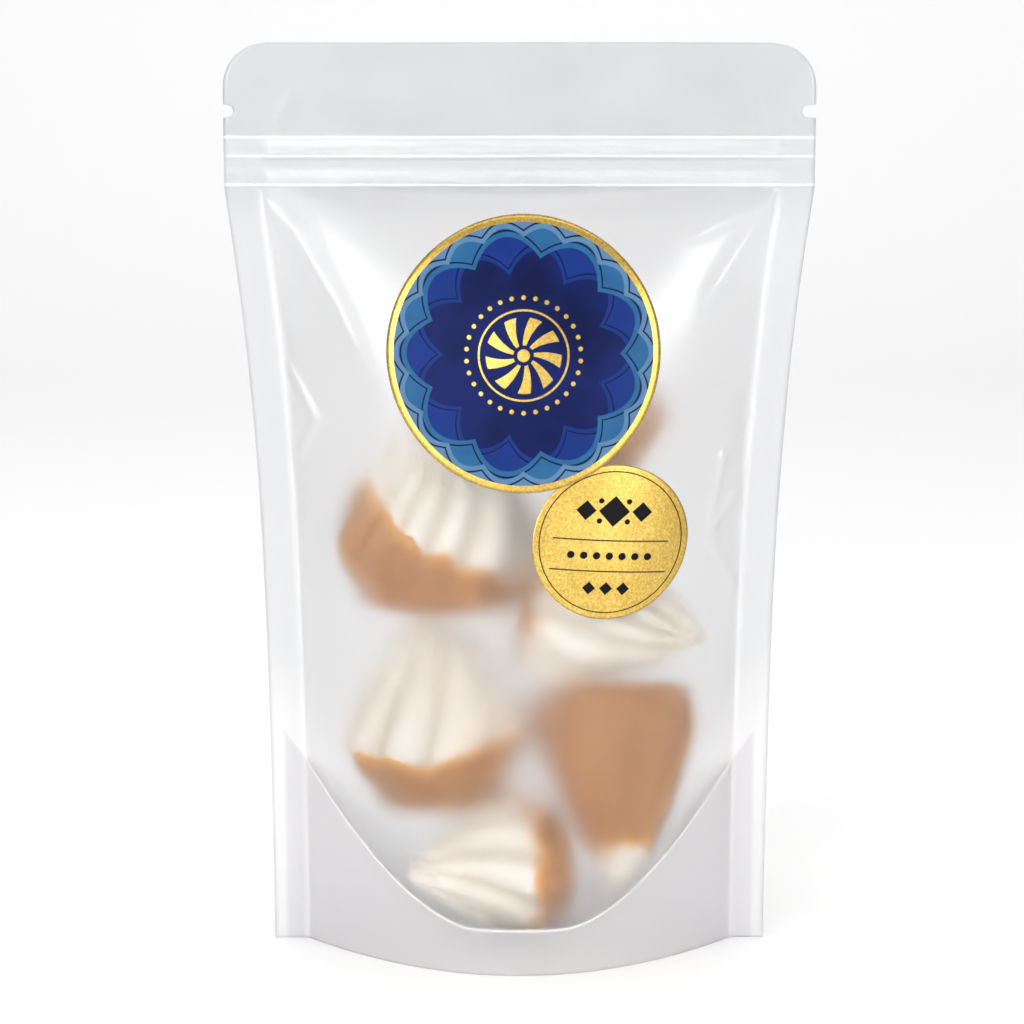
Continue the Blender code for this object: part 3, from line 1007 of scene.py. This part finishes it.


# moves a unit ball's points onto a piped swirl that stands on its base, its tip up; also gives for each
# point how deep it lies in the valleys between the lobes, which sets the painted shade there, and how far
# under the dip line
def swirlPoints(spots, swirl, coated):
    draw = np.random.default_rng(swirl["seed"])
    radius, height, lobes = swirl["radius"], swirl["height"], swirl["lobes"]
    around = np.arctan2(spots[:, 1], spots[:, 0])
    up = 1 - np.arccos(np.clip(spots[:, 2], -1, 1)) / np.pi
    onBase = np.clip(up / swirlShape["basePart"], 0, 1)
    rise = np.clip((up - swirlShape["basePart"]) / (1 - swirlShape["basePart"]), 0, 1)
    belly, foot = swirl.get("belly", swirlShape["belly"]), swirl.get("foot", swirlShape["foot"])
    nub, rim, flat = swirlShape["nub"], swirlShape["rim"], swirlShape["flatPart"]
    above = np.clip((rise - belly) / (1 - belly), 0, 1)
    swell = foot + (1 - foot) * np.sin(np.pi / 2 * np.clip(rise / belly, 0, 1))
    cone = (1 - nub) * (1 - above ** swirl["full"]) + nub * np.sqrt(1 - above**8)
    plain = radius * np.where(rise < belly, swell, cone)
    corner = np.clip((onBase - flat) / (1 - flat), 0, 1) * np.pi / 2
    flatOut = radius * foot - rim
    baseOut = np.where(onBase < flat, flatOut * onBase / flat, flatOut + rim * np.sin(corner))
    baseUp = np.where(onBase < flat, 0.0, rim * (1 - np.cos(corner)))
    out = np.where(rise > 0, plain, baseOut)
    z = np.where(rise > 0, rim + (height - rim) * rise, baseUp)
    turned = around + math.radians(swirl["turn"]) + math.radians(swirl["twist"]) * rise**1.2
    wobble = sum(
        draw.uniform(-0.09, 0.09) * np.sin(order * turned + draw.uniform(0, 6.28)) for order in (1, 2, 3)
    )
    lobe = np.abs(np.cos(lobes * (turned + wobble) / 2))
    deep = swirlShape["deep"] * smoothStep(0.0, 0.9, onBase) * (1 + 0.35 * above)
    uneven = sum(
        draw.uniform(0.006, 0.022) * np.sin(order * turned + draw.uniform(0, 6.28) + 4 * rise)
        for order in (1, 2, 3, 5)
    )
    body = out * (1 - deep + deep * lobe**0.65 + uneven)
    slopeX, slopeY = swirl["dipSlope"]
    dipLine = swirl["dip"] + slopeX * out * np.cos(around) + slopeY * out * np.sin(around)
    dipLine = dipLine + swirlShape["scallop"] * (lobe - 0.6)
    dipLine = dipLine + sum(
        draw.uniform(0.0003, 0.0009) * np.sin(order * around + draw.uniform(0, 6.28))
        for order in (2, 3, 5, 8)
    )
    under = np.where(rise > 0, dipLine - z, 1.0)
    if coated:
        filled = out * (1 - deep * 0.5 + deep * 0.5 * lobe**1.2 + uneven)
        dipped = 1 - smoothStep(-0.0005, 0.0005, z - dipLine)
        outside = np.maximum(filled, body) + swirlShape["coat"]
        hidden = body - swirlShape["hidden"]
        body = np.maximum(np.where(dipped > 0, hidden * (1 - dipped) + outside * dipped, hidden), 0.0)
        z = np.where(up < swirlShape["basePart"], z - swirlShape["coat"], z)
        lowered = z - swirlShape["hiddenTip"] * smoothStep(height * 0.8, height, z)
        z = np.where(z > dipLine, lowered, z)
    # how deep each point lies in the valleys between the lobes, for the painted shade there
    valleyShade = (1 - lobe) ** 1.6 * smoothStep(0.5, 1.0, onBase)
    points = np.column_stack((body * np.cos(around), swirl["squash"] * body * np.sin(around), z))
    return points, valleyShade, under


# turns a swirl so that its tip points the way it lies in the pouch
def swirlTurn(tip):
    up = Vector(tip).normalized()
    across = Vector((0, 1, 0)).cross(up).normalized()
    return Matrix((across, up.cross(across), up)).transposed().to_4x4()


def swirlMesh(name, swirl, coated):
    ball = bmesh.new()
    rounds, ups = swirlShape["round"], swirlShape["up"]
    bmesh.ops.create_uvsphere(ball, u_segments=rounds, v_segments=ups, radius=1.0)
    mesh = bpy.data.meshes.new(name)
    ball.to_mesh(mesh)
    ball.free()
    points, valleyShade, under = swirlPoints(readPoints(mesh), swirl, coated)
    writePoints(mesh, points)
    mesh.transform(Matrix.Translation(swirl["base"]) @ swirlTurn(swirl["tip"]))
    for kind, values in (("valleyShade", valleyShade), ("under", under * 1000)):
        mesh.attributes.new(kind, "FLOAT", "POINT").data.foreach_set("value", values)
    return mesh


meringue = {
    "colours": ((0.65, 0.585, 0.50, 1), (0.705, 0.66, 0.60, 1)),
    # painted shade: the colour the meringue darkens to in the valleys between its lobes
    "valleyShade": (0.55, 0.475, 0.375, 1),
    "roughness": 0.75,
}

chocolate = {
    "colours": ((0.325, 0.132, 0.030, 1), (0.385, 0.168, 0.044, 1)),
    # painted shade: the colour the chocolate darkens to in the valleys between the lobes
    "valleyShade": (0.32, 0.125, 0.03, 1),
    "edge": (0.60, 0.285, 0.055, 1),
    "edgeReach": (0.6, 3.2),  # millimetres under the dip line where the golden edge fades out
    "roughness": (0.34, 0.46),
}


def meringueMaterial():
    bench = Bench("baked meringue")
    spots = bench.objectSpots()
    tone = bench.remap(bench.noise(spots, 60.0, 1.0), 0.35, 0.65, 0.0, 1.0)
    colour = bench.blend(tone, *meringue["colours"])
    # painted shade, darker in the valleys between the lobes
    shade = bench.remap(pointValue(bench, "valleyShade"), 0.10, 1.0, 0.0, 1.0)
    bench.plug(bench.blend(shade, colour, meringue["valleyShade"]), bench.shader.inputs["Base Color"])
    bench.shader.inputs["Roughness"].default_value = meringue["roughness"]
    bench.bump(bench.noise(spots, 900.0, 1.0, 0.6), 0.20, 0.0003)
    return bench.material


# blond chocolate, more golden where its edge is thin
def chocolateMaterial():
    bench = Bench("blond chocolate")
    spots = bench.objectSpots()
    tone = bench.remap(bench.noise(spots, 45.0, 1.0), 0.3, 0.7, 0.0, 1.0)
    # painted shade, a little darker in the valleys between the lobes
    shade = bench.remap(pointValue(bench, "valleyShade"), 0.1, 0.9, 0.0, 0.35)
    colour = bench.blend(shade, bench.blend(tone, *chocolate["colours"]), chocolate["valleyShade"])
    edge = bench.remap(pointValue(bench, "under"), *chocolate["edgeReach"], 1.0, 0.0)
    bench.plug(bench.blend(edge, colour, chocolate["edge"]), bench.shader.inputs["Base Color"])
    gloss = bench.remap(bench.noise(spots, 150.0), 0.3, 0.7, *chocolate["roughness"])
    bench.plug(gloss, bench.shader.inputs["Roughness"])
    bench.bump(bench.noise(spots, 260.0, 0.0), 0.15, 0.0004)
    return bench.material


def addSwirls():
    baked, blond = meringueMaterial(), chocolateMaterial()
    for name, swirl in swirls.items():
        for kind, coated, material in (("meringue", False, baked), ("coat", True, blond)):
            piece = newPiece(f"{name}_{kind}", swirlMesh(f"{name}_{kind}", swirl, coated), [material])
            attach(piece, "root")
            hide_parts("pouch")
    print("swirls piped and dipped:", len(swirls))


# Floor and backdrop

backdrop = {
    "near": -1.6,
    "bend": 1.0,
    "bendRadius": 0.6,
    "halfWidth": 2.5,
    "height": 2.2,
    "rows": 60,
    "paper": (0.84, 0.84, 0.84, 1),
    "roughness": 0.9,
}


def addBackdrop():
    near, bend, radius = backdrop["near"], backdrop["bend"], backdrop["bendRadius"]
    straight, turn = bend - near, radius * math.pi / 2
    total = straight + turn + backdrop["height"]

    def place(column, row):
        walked = total * row / backdrop["rows"]
        angle = np.clip((walked - straight) / radius, 0, math.pi / 2)
        y = near + np.minimum(walked, straight) + radius * np.sin(angle)
        z = radius * (1 - np.cos(angle)) + np.maximum(walked - straight - turn, 0)
        return np.column_stack((backdrop["halfWidth"] * (column - 1.0), y, z))

    bench = Bench("white paper")
    bench.shader.inputs["Base Color"].default_value = backdrop["paper"]
    bench.shader.inputs["Roughness"].default_value = backdrop["roughness"]
    sheet = newPiece("backdrop", gridMesh("backdrop", 2, backdrop["rows"], place), [bench.material])


addCamera()
addLights()
addBackdrop()
print("camera, lights and backdrop set")
addFilm()
addZip()
print("film bent and zip fitted")
addStickers()
print("stickers laid on")
addSwirls()
